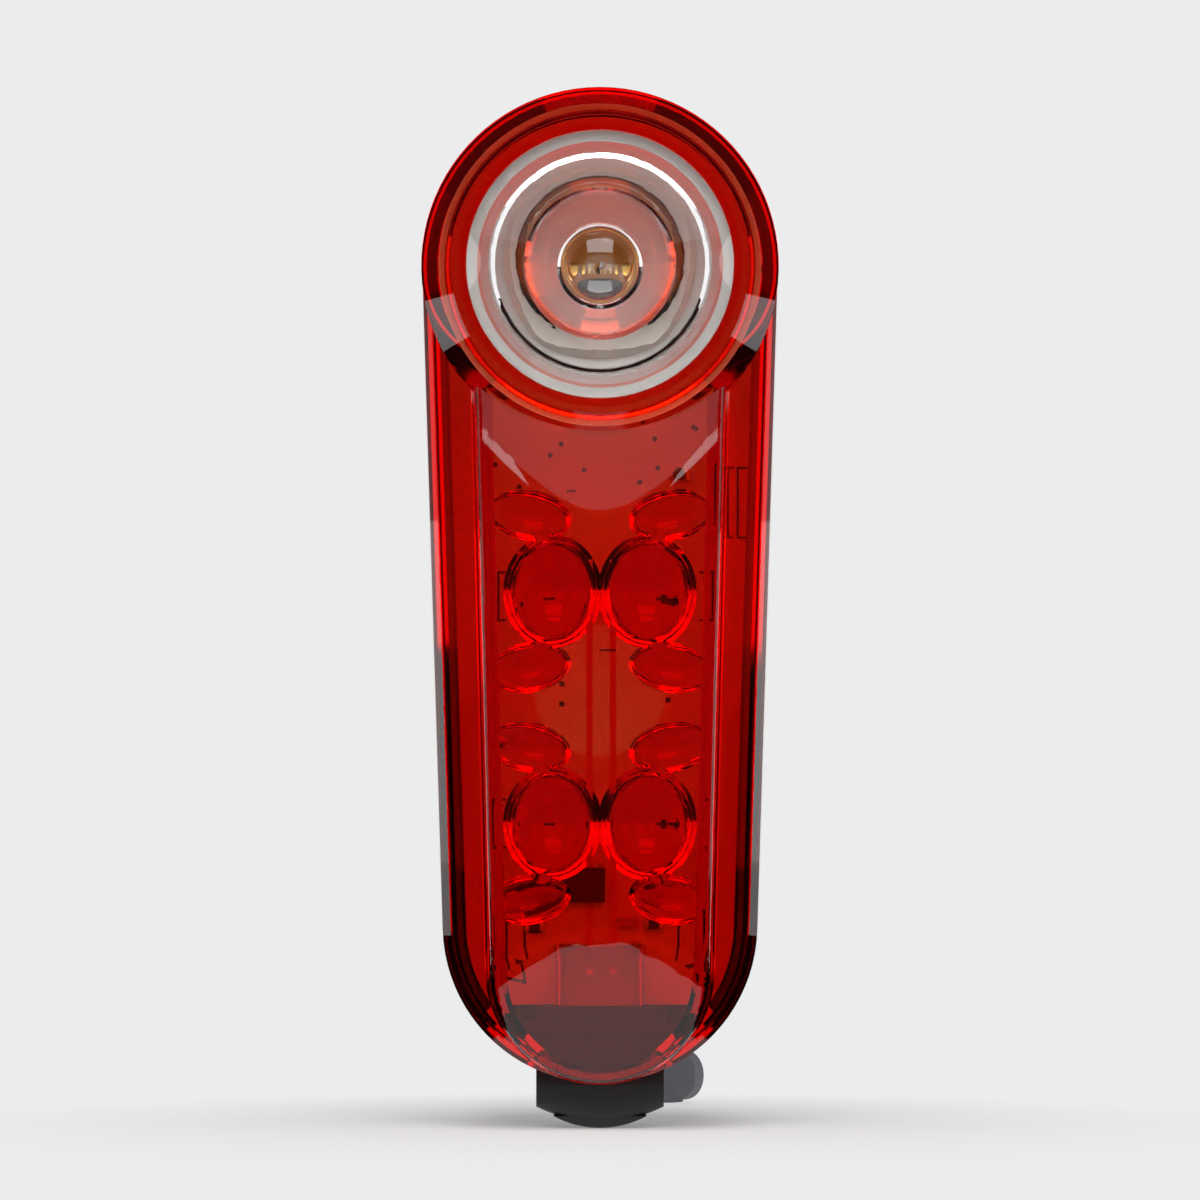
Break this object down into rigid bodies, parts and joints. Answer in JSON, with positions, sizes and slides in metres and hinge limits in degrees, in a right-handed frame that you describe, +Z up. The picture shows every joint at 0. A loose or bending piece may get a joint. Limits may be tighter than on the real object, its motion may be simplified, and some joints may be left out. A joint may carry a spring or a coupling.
{
  "type": "bicycle rear light",
  "caption": "USB-charged bicycle rear light: tall clear-red lens with a round clear spot lens, rubber port cover, seatpost saddle and rubber strap.",
  "frame": {"origin": "on the seatpost's axis, at mid-height of the saddle pad", "axes": "+Z up along the seatpost, the lens faces -Y, +X to the viewer's right"},
  "size_m": [0.031, 0.0535, 0.0896],
  "materials": {
    "red_polycarbonate": "clear red, moulded and polished",
    "clear_polycarbonate": "water clear, polished",
    "black_rubber": "matte, moulded",
    "white_silicone": "translucent white, moulded",
    "grey_silicone": "matte, moulded",
    "black_abs": "fine spark-eroded grain",
    "white_solder_mask": "satin lacquer with black marks",
    "chip_epoxy": "matte moulded epoxy",
    "chip_ceramic": "fired ceramic with tinned ends",
    "led_ceramic": "white moulded frame",
    "led_phosphor": "amber phosphor",
    "led_silicone": "clear silicone",
    "nickel_steel": "nickel plated sheet steel",
    "gold_contact": "gold flash",
    "cell_foil": "pouch foil",
    "foam_tape": "foam tape",
    "lead_insulation": "extruded insulation",
    "stainless_pin": "drawn wire"
  },
  "bodies": {
    "housing": {"red_lens": "red_polycarbonate", "spot_lens": "clear_polycarbonate", "spot_lens_seal": "white_silicone", "spot_led_package": "led_ceramic", "spot_led_chip": "led_phosphor", "spot_led_dome": "led_silicone", "side_led_packages": "led_ceramic", "side_led_domes": "led_silicone", "circuit_board": "white_solder_mask", "driver_chip": "chip_epoxy", "small_components": "chip_ceramic", "indicator_led": "led_phosphor", "usb_shell": "nickel_steel", "usb_tongue": "chip_epoxy", "usb_contacts": "gold_contact", "port_seal": "black_rubber", "usb_cover_anchor": "black_rubber", "battery_cell": "cell_foil", "battery_tape": "foam_tape", "battery_leads": "lead_insulation", "switch_body": "chip_epoxy", "button_seal": "black_rubber", "rear_housing": "black_abs", "housing_gasket": "black_rubber", "saddle_pad": "black_rubber", "strap_pin": "stainless_pin"},
    "cover": {"usb_cover": "black_rubber"},
    "button": {"power_button": "black_rubber"},
    "plunger": {"switch_plunger": "chip_epoxy"},
    "strap": {"strap": "grey_silicone"}
  },
  "joints": [
    {"name": "usb_cover_hinge", "type": "hinge", "parent": "housing", "child": "cover", "pos_m": [0, -0.0234, -0.01815], "axis": [1, 0, 0], "range_deg": [0, 110]},
    {"name": "power_button_press", "type": "slide", "parent": "housing", "child": "button", "axis": [0, 0, -1], "range_m": [0, 0.0003], "stiffness_N_per_m": 3000, "springref_m": -0.0002},
    {"name": "switch_plunger_press", "type": "slide", "parent": "housing", "child": "plunger", "axis": [0, 0, -1], "range_m": [0, 0.0003]},
    {"name": "strap_hinge", "type": "hinge", "parent": "housing", "child": "strap", "pos_m": [-0.0119, -0.0106, 0], "axis": [0, 0, 1], "range_deg": [0, 100]}
  ],
  "couplings": [
    {"joint": "switch_plunger_press", "follows": "power_button_press", "ratio": 1}
  ]
}
